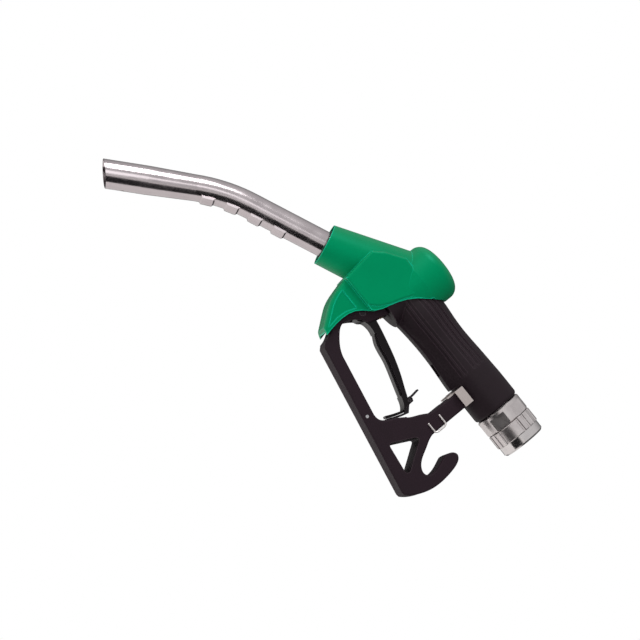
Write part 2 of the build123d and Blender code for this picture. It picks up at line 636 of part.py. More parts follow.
def pivot_pin():
    px, pz = PIVOT
    pin = rod_y(px, pz, PIVOT_PIN_RADIUS, -GUARD_HALF_WIDTH - 0.2, GUARD_HALF_WIDTH + 0.2)
    return pin - rod_y(px, pz, 1.2, GUARD_HALF_WIDTH - 1.0, GUARD_HALF_WIDTH + 1)


def lever_spring():
    px, pz = PIVOT
    spring = Rot(90, 0, 0) * coil(0, 0, 1.8, 3.4, 0.35, 2)
    return Pos(px, 5.9, pz) * spring


def hold_open_catch():
    cx, cz = CATCH_PIN
    hub = rod_y(cx, cz, 2.3, -CATCH_HALF_WIDTH, CATCH_HALF_WIDTH)
    tab = side_plate([(cx - 2.2, cz), (cx - 1.9, cz + 6), (cx - 2.6, cz + 11.6),
                      (cx - 1.4, cz + 11.8), (cx - 0.6, cz + 6), (cx - 0.3, cz + 1)],
                     CATCH_HALF_WIDTH)
    inner = TAIL_RADIUS + 0.35
    outer = inner + CATCH_THICKNESS
    shoulder = around_pivot(outer, -13.2)
    root = around_pivot(inner, -14.6)
    neck = side_plate([(cx, cz + 1.2), shoulder, around_pivot(outer, -16), root,
                       (cx + 1.2, cz - 1.6)], CATCH_HALF_WIDTH)
    arm = arc_band(inner, outer, -25.6, -14.0, CATCH_HALF_WIDTH)
    catch = hub + tab + neck + arm
    for angle in (-19.5, -22.0, -24.5):
        x, z = around_pivot(outer + 0.2, angle)
        catch -= rod_y(x, z, 0.8, -6, 6)
    return catch - rod_y(cx, cz, 1.25 + RUNNING, -6, 6)


def catch_pin():
    return rod_y(CATCH_PIN[0], CATCH_PIN[1], 1.25, -LEVER_HALF_WIDTH, LEVER_HALF_WIDTH)


def catch_spring():
    spring = Rot(90, 0, 0) * coil(0, 0, 1.9, 1.9, 0.3, 3)
    return Pos(CATCH_PIN[0], 5.8, CATCH_PIN[1]) * spring


# ---------------------------------------------------------------- guard
def guard_face():
    arm_back = line([(-65, -20.85), (-51.7, -20.85), (-51.7, -55.75)])
    hook_inside = smooth([(-51.7, -55.75), (-50.3, -60.25), (-46.5, -67.25), (-43.3, -73.25), (-39.5, -78.05),
                          (-35.5, -80.55), (-31.8, -80.85), (-29.2, -78.75), (-28.4, -74.25),
                          (-29.5, -68.25), (-31.5, -63.25), (-33, -59.25)])
    hook_tip = smooth([(-33, -59.25), (-32.3, -55.45), (-30.5, -52.25), (-27.5, -50.65), (-24.5, -51.85),
                       (-21.6, -56.25), (-19.6, -64.25), (-18.6, -74.25), (-19.4, -84.25), (-21.8, -92.25),
                       (-25, -98.75), (-29.5, -104.25)])
    underside = line([(-29.5, -104.25), (-32, -104.65), (-157.5, -80.25), (-160.5, -77.25)])
    front = smooth([(-160.5, -77.25), (-163.5, -69.75), (-169.5, -61.75), (-174, -54.25), (-177, -46.25),
                    (-176, -37.25), (-172, -30.25)])
    top = line([(-172, -30.25), (-164, -22.4), (-146.4, -22.4), (-148.8, -33.05), (-151.5, -40.25)])
    loop_front = smooth([(-151.5, -40.25), (-158, -44.85), (-161.5, -49.75), (-163.3, -54.25),
                         (-162.3, -59.25), (-159.3, -62.95), (-155.5, -66.25), (-151.3, -69.25),
                         (-146.5, -71.75), (-141.5, -73.25)])
    bar = line([(-141.5, -73.25), (-94.5, -82.45)])
    loop_back = smooth([(-94.5, -82.45), (-90, -82.75), (-86.5, -81.55), (-84, -78.75), (-81.5, -74.25),
                        (-78.8, -69.25), (-76, -65.05)])
    arm_front = smooth([(-76, -65.05), (-72.6, -60.25), (-70.2, -54.75), (-68.2, -51.05), (-66.2, -47.25),
                        (-65.3, -41.25), (-65, -31.25)])
    return make_face([arm_back, hook_inside, hook_tip, underside, front, top, loop_front, bar,
                      loop_back, arm_front, line([(-65, -31.25), (-65, -20.85)])])


RIVET = (-95.0, -88.2)
CLIP_HEIGHTS = (-42.8, -53.8)
CLIP_WIRE_RADIUS = 0.75


def guard_window():
    near = make_face(line([(-56.6, -64.6), (-68.6, -88.6), (-37.6, -93), (-56.6, -64.6)]))
    near = fillet(near.vertices(), 2.6)
    return extrude(Pos(0, -GUARD_HALF_WIDTH - 1, 0) * near, 2 * GUARD_HALF_WIDTH + 2, dir=(0, 1, 0), taper=2.6)


def lever_guard():
    guard = extrude(guard_face(), GUARD_HALF_WIDTH, dir=(0, 1, 0), both=True)
    edges = [e for e in guard.edges() if abs(e.center().Y) > GUARD_HALF_WIDTH - 0.01]
    guard = fillet(edges, GUARD_EDGE_ROUND)
    guard -= guard_window()
    px, pz = PIVOT
    inner = LEVER_HALF_WIDTH + 0.6
    guard -= side_plate([(-190, -46), (-170, -49), (-158, -49), (-140, -44), (-140, -15),
                         (-190, -15)], inner)
    guard -= arc_band(40, 91.5, -29.5, -8, SLOT_HALF_WIDTH)
    guard -= rod_y(px, pz, PIVOT_PIN_RADIUS + SEATED, -20, 20)
    guard -= rod_y(RIVET[0], RIVET[1], RIVET_RADIUS + SEATED, -20, 20)
    guard -= rod_z(-58.5, -25.5, -20, 3.6)
    for z in CLIP_HEIGHTS:
        for sign in (-1, 1):
            guard -= rod_y(-60, z, CLIP_WIRE_RADIUS + SEATED, sign * 8, sign * 20)
    return guard


def guard_rivet():
    x, z = RIVET
    head_face = GUARD_HALF_WIDTH + RIVET_HEAD_HEIGHT
    rivet = rod_y(x, z, RIVET_RADIUS, -GUARD_HALF_WIDTH, GUARD_HALF_WIDTH)
    rivet += rod_y(x, z, RIVET_HEAD_RADIUS, -head_face, -GUARD_HALF_WIDTH)
    return rivet + rod_y(x, z, RIVET_HEAD_RADIUS, GUARD_HALF_WIDTH, head_face)


def catch_tooth():
    profile = [(-75.6, -64.6), (-75.4, -63.2), (-71.0, -60.6), (-70.0, -67.8), (-73.8, -67.4)]
    tooth = side_plate(profile, SLOT_HALF_WIDTH - SEATED)
    return tooth & rod_y(PIVOT[0], PIVOT[1], 91.5 - 2 * SEATED, -20, 20)


def wire_clip():
    clip = None
    low, high = CLIP_HEIGHTS[1], CLIP_HEIGHTS[0]
    for sign in (-1, 1):
        y = sign * (GUARD_HALF_WIDTH + CLIP_WIRE_RADIUS + SEATED)
        path = Polyline((-60, sign * 8, high), (-60, y, high), (-51.7, y, high),
                        (-50.7, y, high - 2.2), (-50.7, y, low + 2.2), (-51.7, y, low), (-60, y, low),
                        (-60, sign * 8, low))
        start = Plane(origin=path @ 0, z_dir=path % 0)
        loop = sweep(start * Circle(CLIP_WIRE_RADIUS), path=path, transition=Transition.ROUND)
        clip = loop if clip is None else Compound(children=[clip, loop])
    return clip


def guard_bracket():
    bracket = block(-66.6, -52, -16.3, 16.3, -20.8, -19.62)
    for sign in (-1, 1):
        bracket += block(-66.6, -52, sign * 15.05, sign * 16.3, -22.6, -14.8)
        bracket += block(-66.6, -65.3, sign * 8, sign * 11.6, -29, -20)
    bracket += block(-66.6, -65.3, -16.3, 16.3, -22.6, -14.8)
    bracket -= rod_x(-40, -80, GRIP_RADIUS + 0.5) & block(-70, -50, -20, 20, -19.62, -10)
    return bracket - rod_z(-58.5, -22, -18, 1.5 + SEATED)


def bracket_screw():
    screw = rod_z(-58.5, -20.8, -12, 1.5)
    screw += rod_z(-58.5, -23.4, -20.8, 3.0)
    return screw - rod_z(-58.5, -24, -22.0, 1.4)


# ---------------------------------------------------------------- hose swivel
def swivel_body():
    body = rod_x(NUT_END - 0.5, FLAT_RING_END, SWIVEL_RADIUS)
    body = chamfer(body.edges().filter_by(GeomType.CIRCLE), 0.7)
    for index in range(6):
        turn = math.radians(-28 + 60 * index)
        y = -math.cos(turn) * (SWIVEL_RADIUS + 8.8)
        z = math.sin(turn) * (SWIVEL_RADIUS + 8.8)
        flat = Rot(-math.degrees(turn), 0, 0) * Box(10.5, 20, 30)
        body -= Pos(NUT_END - 0.5 - 5.24, y, z) * flat
    body += rod_x(FLAT_RING_END + 1, TUBE_END - 15.5, SLEEVE_RADIUS - SEATED)
    body += rod_x(NUT_END - 1, -11.6, SLEEVE_RADIUS)
    body -= rod_x(0, -60, SWIVEL_BORE_RADIUS)
    return body - Pos(-15.5, 0, 0) * Rot(0, 90, 0) * Torus(SLEEVE_RADIUS + 0.2, 1.5 + RUNNING)


def swivel_nut():
    nut = rod_x(NUT_START, NUT_END, SWIVEL_RADIUS)
    nut = chamfer(nut.edges().filter_by(GeomType.CIRCLE), 0.6)
    for group in range(3):
        for index in range(5):
            turn = math.radians(6 + 16.4 * index + 120 * group)
            y = -math.cos(turn) * (SWIVEL_RADIUS + 0.4)
            z = math.sin(turn) * (SWIVEL_RADIUS + 0.4)
            nut -= rod_x(NUT_START + 1, NUT_END - 1, 1.3, y=y, z=z)
    nut -= rod_x(0, -30, SLEEVE_RADIUS + 0.4)
    nut -= rod_x(0, -12.6, 16.2)
    return nut - Pos(-15.5, 0, 0) * Rot(0, 90, 0) * Torus(SLEEVE_RADIUS + 0.2, 1.5 + RUNNING)


def swivel_end_ring():
    ring = rod_x(0, -END_RING_LENGTH + 0.1, END_RING_RADIUS)
    ring = chamfer(ring.edges().group_by(Axis.X)[-1], 1.4)
    ring += rod_x(-3, -11.2, 16.2 - SEATED)
    ring -= rod_x(1, -HOSE_THREAD_LENGTH, HOSE_THREAD_RADIUS)
    return ring - rod_x(0, -30, SWIVEL_BORE_RADIUS)


def swivel_balls():
    balls = [Pos(-15.5, y, z) * Sphere(SWIVEL_BALL_RADIUS) for y, z in
             on_circle(14, SLEEVE_RADIUS + 0.2)]
    return Compound(children=balls)


def swivel_o_ring():
    return Pos(-11.9, 0, 0) * Rot(0, 90, 0) * Torus(14.8, 0.65)


def handle_o_ring():
    return Pos(TUBE_END + 0.75, 0, 0) * Rot(0, 90, 0) * Torus(SLEEVE_RADIUS + 0.8, 0.7)


def inlet_strainer():
    rim = rod_x(-24, -28, SWIVEL_BORE_RADIUS - SEATED) - rod_x(-23, -29, SWIVEL_BORE_RADIUS - 1)
    cup = Pos(-37, 0, 0) * Rot(0, -90, 0) * Cone(SWIVEL_BORE_RADIUS - 0.5, 4.5, 18.2)
    cup -= Pos(-36, 0, 0) * Rot(0, -90, 0) * Cone(SWIVEL_BORE_RADIUS - 1.1, 3.9, 18.2)
    for index in range(4):
        for x in (-33, -37, -41):
            cup -= Pos(x, 0, 0) * Rot(45 * index, 0, 0) * Box(1.6, 3.2, 30)
    return rim + cup


PARTS = {
    "nozzle_body": nozzle_body,
    "grip_sleeve": grip_sleeve,
    "body_cover": body_cover,
    "spout_tube": spout_tube,
    "sensing_tube": sensing_tube,
    "spout_ferrule": spout_ferrule,
    "spout_ring": spout_ring,
    "spout_o_ring": o_ring_on_spout,
    "spout_screw": spout_screw,
    "check_disc": check_disc,
    "check_spring": check_spring,
    "check_cage": check_cage,
    "valve_seat": valve_seat,
    "valve_poppet": valve_poppet,
    "poppet_seal": poppet_seal,
    "valve_stem": valve_stem,
    "latch_balls": latch_balls,
    "latch_pin": latch_pin,
    "valve_cap": valve_cap,
    "valve_spring": valve_spring,
    "stem_packing": stem_packing,
    "gland_nut": gland_nut,
    "diaphragm": diaphragm,
    "diaphragm_plate": diaphragm_plate,
    "diaphragm_cap": diaphragm_cap,
    "diaphragm_spring": diaphragm_spring,
    "cap_screws": cap_screws,
    "hand_lever": hand_lever,
    "lever_pivot_pin": pivot_pin,
    "lever_spring": lever_spring,
    "hold_open_catch": hold_open_catch,
    "catch_pin": catch_pin,
    "catch_spring": catch_spring,
    "lever_guard": lever_guard,
    "guard_rivet": guard_rivet,
    "catch_tooth": catch_tooth,
    "guard_wire_clip": wire_clip,
    "guard_bracket": guard_bracket,
    "bracket_screw": bracket_screw,
    "swivel_body": swivel_body,
    "swivel_nut": swivel_nut,
    "swivel_end_ring": swivel_end_ring,
    "swivel_balls": swivel_balls,
    "swivel_o_ring": swivel_o_ring,
    "handle_o_ring": handle_o_ring,
    "inlet_strainer": inlet_strainer,
}

for name, build in PARTS.items():
    export_step(build(), f"parts/{name}.step")
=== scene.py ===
import math

import bpy
from mathutils import Matrix, Vector

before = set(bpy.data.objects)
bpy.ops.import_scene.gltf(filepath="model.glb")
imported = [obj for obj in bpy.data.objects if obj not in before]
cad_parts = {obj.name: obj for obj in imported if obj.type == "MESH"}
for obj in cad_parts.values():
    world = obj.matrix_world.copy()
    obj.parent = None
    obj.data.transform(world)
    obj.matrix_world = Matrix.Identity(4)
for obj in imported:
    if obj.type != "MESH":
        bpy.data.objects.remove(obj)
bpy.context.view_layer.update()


# ---- Hose swivel: body with six spanner flats and a nut with milled grooves, both turned from
# aluminium bar and left with a satin cut. The nut runs on a ring of balls over the body's sleeve.
def linear(hex_colour):
    values = [int(hex_colour[i:i + 2], 16) / 255 for i in (1, 3, 5)]
    values = [v / 12.92 if v <= 0.04045 else ((v + 0.055) / 1.055) ** 2.4 for v in values]
    return (*values, 1.0)


def add_node(tree, kind, settings=None, sockets=None):
    node = tree.nodes.new(kind)
    for name, value in (settings or {}).items():
        setattr(node, name, value)
    for name, value in (sockets or {}).items():
        if isinstance(value, bpy.types.NodeSocket):
            tree.links.new(value, node.inputs[name])
        else:
            node.inputs[name].default_value = value
    return node


def new_finish(name, **constants):
    finish = bpy.data.materials.new(name)
    finish.use_nodes = True
    tree = finish.node_tree
    surface = tree.nodes["Principled BSDF"]
    for socket, value in constants.items():
        surface.inputs[socket.replace("_", " ")].default_value = value
    place = add_node(tree, "ShaderNodeTexCoord").outputs["Object"]
    return finish, tree, surface, place


def bevel_edge_mask(tree, width, face_level, edge_level):
    rounded = add_node(tree, "ShaderNodeBevel", {"samples": 6}, {"Radius": width})
    crisp = add_node(tree, "ShaderNodeNewGeometry")
    facing = add_node(tree, "ShaderNodeVectorMath", {"operation": "DOT_PRODUCT"},
                      {0: rounded.outputs[0], 1: crisp.outputs["Normal"]})
    return add_node(tree, "ShaderNodeMapRange", None,
                    {"Value": facing.outputs["Value"], "From Min": face_level, "From Max": edge_level}).outputs[0]


def dress(finish, *nodes):
    for name in nodes:
        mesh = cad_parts[name].data
        mesh.materials.clear()
        mesh.materials.append(finish)


# A colour mix takes its two colours at these inputs and gives the blend at this output.
FIRST_COLOUR = 6
SECOND_COLOUR = 7
BLEND = 2

# Turned aluminium shows fine tool rings across the handle's length, and soft grey clouds.
turned, tree, surface, place = new_finish("turned_aluminium", Metallic=1.0)
rings = add_node(tree, "ShaderNodeTexNoise", None,
                 {"Vector": add_node(tree, "ShaderNodeMapping", None,
                                     {"Vector": place, "Scale": (2200, 25, 25)}).outputs[0],
                  "Scale": 1.0, "Detail": 2.0})
cloud = add_node(tree, "ShaderNodeTexNoise", None, {"Vector": place, "Scale": 110.0, "Detail": 5.0})
tint = add_node(tree, "ShaderNodeMix", {"data_type": "RGBA"}, {"Factor": cloud.outputs["Fac"]})
tint.inputs[FIRST_COLOUR].default_value = linear("#C6BDBE")
tint.inputs[SECOND_COLOUR].default_value = linear("#E6E1E0")
rough = add_node(tree, "ShaderNodeMapRange", None,
                 {"Value": cloud.outputs["Fac"], "To Min": 0.20, "To Max": 0.42})
bump = add_node(tree, "ShaderNodeBump", None,
                {"Height": rings.outputs["Fac"], "Strength": 0.04, "Distance": 0.0001})
tree.links.new(tint.outputs[BLEND], surface.inputs["Base Color"])
tree.links.new(rough.outputs[0], surface.inputs["Roughness"])
tree.links.new(bump.outputs[0], surface.inputs["Normal"])
dress(turned, "swivel_nut", "swivel_body", "spout_ring", "spout_ferrule", "sensing_tube",
      "valve_poppet", "valve_cap", "diaphragm_plate")

# ---- End ring of the swivel: turned and polished aluminium, screwed into the nut. Its thread
# takes the hose tail, and its rim is the brightest face of the inlet.
polished, tree, surface, place = new_finish("polished_aluminium", Metallic=1.0)
scuffs = add_node(tree, "ShaderNodeTexNoise", None, {"Vector": place, "Scale": 160.0, "Detail": 8.0})
tint = add_node(tree, "ShaderNodeMix", {"data_type": "RGBA"}, {"Factor": scuffs.outputs["Fac"]})
tint.inputs[FIRST_COLOUR].default_value = linear("#CFC9CA")
tint.inputs[SECOND_COLOUR].default_value = linear("#E6E2E1")
rough = add_node(tree, "ShaderNodeMapRange", None,
                 {"Value": scuffs.outputs["Fac"], "From Min": 0.35, "From Max": 0.7,
                  "To Min": 0.10, "To Max": 0.26})
bump = add_node(tree, "ShaderNodeBump", None,
                {"Height": scuffs.outputs["Fac"], "Strength": 0.05, "Distance": 0.0002})
tree.links.new(tint.outputs[BLEND], surface.inputs["Base Color"])
tree.links.new(rough.outputs[0], surface.inputs["Roughness"])
tree.links.new(bump.outputs[0], surface.inputs["Normal"])
dress(polished, "swivel_end_ring")

# ---- Seals: moulded nitrile rubber rings and the valve diaphragm, pressed or trapped in grooves.
# Nitrile is a dull black with a faint bloom.
rubber, tree, surface, place = new_finish("nitrile_rubber")
bloom = add_node(tree, "ShaderNodeTexNoise", None, {"Vector": place, "Scale": 500.0, "Detail": 4.0})
tint = add_node(tree, "ShaderNodeMix", {"data_type": "RGBA"}, {"Factor": bloom.outputs["Fac"]})
tint.inputs[FIRST_COLOUR].default_value = linear("#0E0D0E")
tint.inputs[SECOND_COLOUR].default_value = linear("#242224")
rough = add_node(tree, "ShaderNodeMapRange", None,
                 {"Value": bloom.outputs["Fac"], "To Min": 0.55, "To Max": 0.8})
tree.links.new(tint.outputs[BLEND], surface.inputs["Base Color"])
tree.links.new(rough.outputs[0], surface.inputs["Roughness"])
dress(rubber, "swivel_o_ring", "handle_o_ring", "spout_o_ring", "poppet_seal", "stem_packing", "diaphragm")

# ---- Bearing balls, strainer, valve stem and pins: stainless steel, ground or etched.
# Ground steel is a plain grey with very fine lines.
stainless, tree, surface, place = new_finish("ground_stainless_steel", Metallic=1.0)
grind = add_node(tree, "ShaderNodeTexNoise", None,
                 {"Vector": add_node(tree, "ShaderNodeMapping", None,
                                     {"Vector": place, "Scale": (300, 300, 3000)}).outputs[0],
                  "Scale": 1.0, "Detail": 3.0})
tint = add_node(tree, "ShaderNodeMix", {"data_type": "RGBA"}, {"Factor": grind.outputs["Fac"]})
tint.inputs[FIRST_COLOUR].default_value = linear("#A9A6A6")
tint.inputs[SECOND_COLOUR].default_value = linear("#C9C6C4")
rough = add_node(tree, "ShaderNodeMapRange", None,
                 {"Value": grind.outputs["Fac"], "To Min": 0.18, "To Max": 0.36})
tree.links.new(tint.outputs[BLEND], surface.inputs["Base Color"])
tree.links.new(rough.outputs[0], surface.inputs["Roughness"])
dress(stainless, "swivel_balls", "inlet_strainer", "valve_stem", "latch_balls", "latch_pin")

# ---- Grip sleeve: black thermoplastic moulded over the handle tube, with shallow flutes and a
# keel under the fingers. The mould gives it a fine even grain, and its raised edges are rubbed paler.
grip, tree, surface, place = new_finish("moulded_black_elastomer", Specular_IOR_Level=0.24)
shade = add_node(tree, "ShaderNodeTexNoise", None, {"Vector": place, "Scale": 45.0, "Detail": 5.0})
edge_mask = bevel_edge_mask(tree, width=0.0009, face_level=0.995, edge_level=0.93)
tint = add_node(tree, "ShaderNodeMix", {"data_type": "RGBA"}, {"Factor": shade.outputs["Fac"]})
tint.inputs[FIRST_COLOUR].default_value = linear("#160A11")
tint.inputs[SECOND_COLOUR].default_value = linear("#20121B")
edge_tinted = add_node(tree, "ShaderNodeMix", {"data_type": "RGBA"}, {"Factor": edge_mask})
tree.links.new(tint.outputs[BLEND], edge_tinted.inputs[FIRST_COLOUR])
edge_tinted.inputs[SECOND_COLOUR].default_value = linear("#382B33")
grain = add_node(tree, "ShaderNodeTexNoise", None, {"Vector": place, "Scale": 1500.0, "Detail": 3.0})
rough = add_node(tree, "ShaderNodeMapRange", None,
                 {"Value": shade.outputs["Fac"], "To Min": 0.48, "To Max": 0.64})
bump = add_node(tree, "ShaderNodeBump", None,
                {"Height": grain.outputs["Fac"], "Strength": 0.16, "Distance": 0.0003})
tree.links.new(edge_tinted.outputs[BLEND], surface.inputs["Base Color"])
tree.links.new(rough.outputs[0], surface.inputs["Roughness"])
tree.links.new(bump.outputs[0], surface.inputs["Normal"])
dress(grip, "grip_sleeve")

# ---- Cast body and diaphragm cap: sand-cast aluminium, painted black. The castings keep a soft
# pebbled skin, and paint is thin on their corners.
cast, tree, surface, place = new_finish("black_painted_cast_aluminium", Specular_IOR_Level=0.14)
pebble = add_node(tree, "ShaderNodeTexNoise", None, {"Vector": place, "Scale": 420.0, "Detail": 5.0})
edge_mask = bevel_edge_mask(tree, width=0.0006, face_level=0.99, edge_level=0.88)
tint = add_node(tree, "ShaderNodeMix", {"data_type": "RGBA"}, {"Factor": edge_mask})
tint.inputs[FIRST_COLOUR].default_value = linear("#0E080B")
tint.inputs[SECOND_COLOUR].default_value = linear("#241C20")
rough = add_node(tree, "ShaderNodeMapRange", None,
                 {"Value": pebble.outputs["Fac"], "To Min": 0.40, "To Max": 0.62})
bump = add_node(tree, "ShaderNodeBump", None,
                {"Height": pebble.outputs["Fac"], "Strength": 0.25, "Distance": 0.0004})
tree.links.new(tint.outputs[BLEND], surface.inputs["Base Color"])
tree.links.new(rough.outputs[0], surface.inputs["Roughness"])
tree.links.new(bump.outputs[0], surface.inputs["Normal"])
dress(cast, "nozzle_body", "diaphragm_cap")

# ---- Valve seat and gland nut: free-cutting brass, turned. Brass goes brown in patches.
brass, tree, surface, place = new_finish("turned_brass", Metallic=1.0)
patch = add_node(tree, "ShaderNodeTexNoise", None, {"Vector": place, "Scale": 260.0, "Detail": 4.0})
tint = add_node(tree, "ShaderNodeMix", {"data_type": "RGBA"}, {"Factor": patch.outputs["Fac"]})
tint.inputs[FIRST_COLOUR].default_value = linear("#9A7838")
tint.inputs[SECOND_COLOUR].default_value = linear("#CBA75A")
rough = add_node(tree, "ShaderNodeMapRange", None,
                 {"Value": patch.outputs["Fac"], "To Min": 0.22, "To Max": 0.42})
tree.links.new(tint.outputs[BLEND], surface.inputs["Base Color"])
tree.links.new(rough.outputs[0], surface.inputs["Roughness"])
dress(brass, "valve_seat", "gland_nut")

# ---- Springs and the guard's wire clips: drawn spring steel, wound or bent cold and plated.
# Drawn wire is bright, with faint darker flecks.
wire, tree, surface, place = new_finish("drawn_spring_steel", Metallic=1.0)
fleck = add_node(tree, "ShaderNodeTexNoise", None, {"Vector": place, "Scale": 700.0, "Detail": 3.0})
tint = add_node(tree, "ShaderNodeMix", {"data_type": "RGBA"}, {"Factor": fleck.outputs["Fac"]})
tint.inputs[FIRST_COLOUR].default_value = linear("#E0D9D7")
tint.inputs[SECOND_COLOUR].default_value = linear("#F6F2F1")
rough = add_node(tree, "ShaderNodeMapRange", None,
                 {"Value": fleck.outputs["Fac"], "To Min": 0.34, "To Max": 0.50})
tree.links.new(tint.outputs[BLEND], surface.inputs["Base Color"])
tree.links.new(rough.outputs[0], surface.inputs["Roughness"])
dress(wire, "valve_spring", "diaphragm_spring", "check_spring", "lever_spring", "catch_spring",
      "guard_wire_clip")

# ---- Screws and the guard's cross rivet: steel, cold headed and zinc plated. Zinc is a soft
# blue-grey that spangles a little.
zinc, tree, surface, place = new_finish("zinc_plated_steel", Metallic=1.0)
spangle = add_node(tree, "ShaderNodeTexVoronoi", None, {"Vector": place, "Scale": 900.0})
tint = add_node(tree, "ShaderNodeMix", {"data_type": "RGBA"}, {"Factor": spangle.outputs["Distance"]})
tint.inputs[FIRST_COLOUR].default_value = linear("#A5A5A8")
tint.inputs[SECOND_COLOUR].default_value = linear("#C6C5C6")
rough = add_node(tree, "ShaderNodeMapRange", None,
                 {"Value": spangle.outputs["Distance"], "To Min": 0.28, "To Max": 0.44})
tree.links.new(tint.outputs[BLEND], surface.inputs["Base Color"])
tree.links.new(rough.outputs[0], surface.inputs["Roughness"])
dress(zinc, "spout_screw", "cap_screws", "guard_rivet", "bracket_screw")

# ---- Check valve disc and its cage: moulded grey acetal, with a faintly mottled skin.
acetal, tree, surface, place = new_finish("moulded_grey_acetal")
mottle = add_node(tree, "ShaderNodeTexNoise", None, {"Vector": place, "Scale": 300.0, "Detail": 3.0})
tint = add_node(tree, "ShaderNodeMix", {"data_type": "RGBA"}, {"Factor": mottle.outputs["Fac"]})
tint.inputs[FIRST_COLOUR].default_value = linear("#8C8C8A")
tint.inputs[SECOND_COLOUR].default_value = linear("#A6A6A3")
rough = add_node(tree, "ShaderNodeMapRange", None,
                 {"Value": mottle.outputs["Fac"], "To Min": 0.34, "To Max": 0.48})
tree.links.new(tint.outputs[BLEND], surface.inputs["Base Color"])
tree.links.new(rough.outputs[0], surface.inputs["Roughness"])
dress(acetal, "check_disc", "check_cage")

# ---- Cover: green thermoplastic, moulded with a satin gloss and clipped over the valve body. Its
# skin ripples faintly, its edges carry a painted highlight in pale teal, and its gloss is tinted to keep
# the green deep.
green, tree, surface, place = new_finish("satin_green_thermoplastic", Specular_IOR_Level=0.45,
                                         Specular_Tint=(0.02, 0.75, 0.55, 1.0))
shift = add_node(tree, "ShaderNodeTexNoise", None, {"Vector": place, "Scale": 22.0, "Detail": 4.0})
# This edge mask marks where the cover's painted highlight goes.
edge_mask = bevel_edge_mask(tree, width=0.0016, face_level=0.995, edge_level=0.90)
tint = add_node(tree, "ShaderNodeMix", {"data_type": "RGBA"}, {"Factor": shift.outputs["Fac"]})
tint.inputs[FIRST_COLOUR].default_value = linear("#00794A")
tint.inputs[SECOND_COLOUR].default_value = linear("#008A58")
# Painted highlight: the edges are mixed toward pale teal #12B48C to stand in for light catching them.
edge_tinted = add_node(tree, "ShaderNodeMix", {"data_type": "RGBA"}, {"Factor": edge_mask})
tree.links.new(tint.outputs[BLEND], edge_tinted.inputs[FIRST_COLOUR])
edge_tinted.inputs[SECOND_COLOUR].default_value = linear("#12B48C")
ripple = add_node(tree, "ShaderNodeTexNoise", None, {"Vector": place, "Scale": 700.0, "Detail": 3.0})
rough = add_node(tree, "ShaderNodeMapRange", None,
                 {"Value": shift.outputs["Fac"], "To Min": 0.34, "To Max": 0.46})
bump = add_node(tree, "ShaderNodeBump", None,
                {"Height": ripple.outputs["Fac"], "Strength": 0.07, "Distance": 0.0004})
tree.links.new(edge_tinted.outputs[BLEND], surface.inputs["Base Color"])
tree.links.new(rough.outputs[0], surface.inputs["Roughness"])
tree.links.new(bump.outputs[0], surface.inputs["Normal"])
dress(green, "body_cover")

# ---- Spout: drawn aluminium tube, bent once and polished, with four pressed ribs under the bend.
# Long drawing lines run along it, and soft scuffs cloud it all over.
spout, tree, surface, place = new_finish("polished_drawn_aluminium", Metallic=1.0)
tube_slope = math.radians(-33)
lengthwise = add_node(tree, "ShaderNodeMapping", None,
                      {"Vector": place, "Rotation": (0, tube_slope, 0), "Scale": (12, 500, 500)})
draw = add_node(tree, "ShaderNodeTexNoise", None,
                {"Vector": lengthwise.outputs[0], "Scale": 1.0, "Detail": 1.0})
scuffs = add_node(tree, "ShaderNodeTexNoise", None, {"Vector": place, "Scale": 60.0, "Detail": 4.0,
                                                     "Roughness": 0.5})
tint = add_node(tree, "ShaderNodeMix", {"data_type": "RGBA"}, {"Factor": scuffs.outputs["Fac"]})
tint.inputs[FIRST_COLOUR].default_value = linear("#B7ADB1")
tint.inputs[SECOND_COLOUR].default_value = linear("#D2CACC")
rough = add_node(tree, "ShaderNodeMapRange", None,
                 {"Value": scuffs.outputs["Fac"], "From Min": 0.4, "From Max": 0.75,
                  "To Min": 0.16, "To Max": 0.27})
bump = add_node(tree, "ShaderNodeBump", None,
                {"Height": draw.outputs["Fac"], "Strength": 0.05, "Distance": 0.0001})
tree.links.new(tint.outputs[BLEND], surface.inputs["Base Color"])
tree.links.new(rough.outputs[0], surface.inputs["Roughness"])
tree.links.new(bump.outputs[0], surface.inputs["Normal"])
dress(spout, "spout_tube")

# ---- Hand lever: die-cast channel with a black coating, smooth and glossier than the mouldings.
# The coating wears along the channel's edges, and the grey line there is also a painted highlight.
coated, tree, surface, place = new_finish("black_coated_die_casting", Specular_IOR_Level=0.16)
haze = add_node(tree, "ShaderNodeTexNoise", None, {"Vector": place, "Scale": 120.0, "Detail": 5.0})
edge_mask = bevel_edge_mask(tree, width=0.0003, face_level=0.985, edge_level=0.80)
# Edges are mixed toward grey #4B4148: partly wear, partly a painted highlight along the channel's edges.
tint = add_node(tree, "ShaderNodeMix", {"data_type": "RGBA"}, {"Factor": edge_mask})
tint.inputs[FIRST_COLOUR].default_value = linear("#0D070B")
tint.inputs[SECOND_COLOUR].default_value = linear("#4B4148")
rough = add_node(tree, "ShaderNodeMapRange", None,
                 {"Value": haze.outputs["Fac"], "To Min": 0.24, "To Max": 0.38})
bump = add_node(tree, "ShaderNodeBump", None,
                {"Height": haze.outputs["Fac"], "Strength": 0.05, "Distance": 0.0004})
tree.links.new(tint.outputs[BLEND], surface.inputs["Base Color"])
tree.links.new(rough.outputs[0], surface.inputs["Roughness"])
tree.links.new(bump.outputs[0], surface.inputs["Normal"])
dress(coated, "hand_lever")

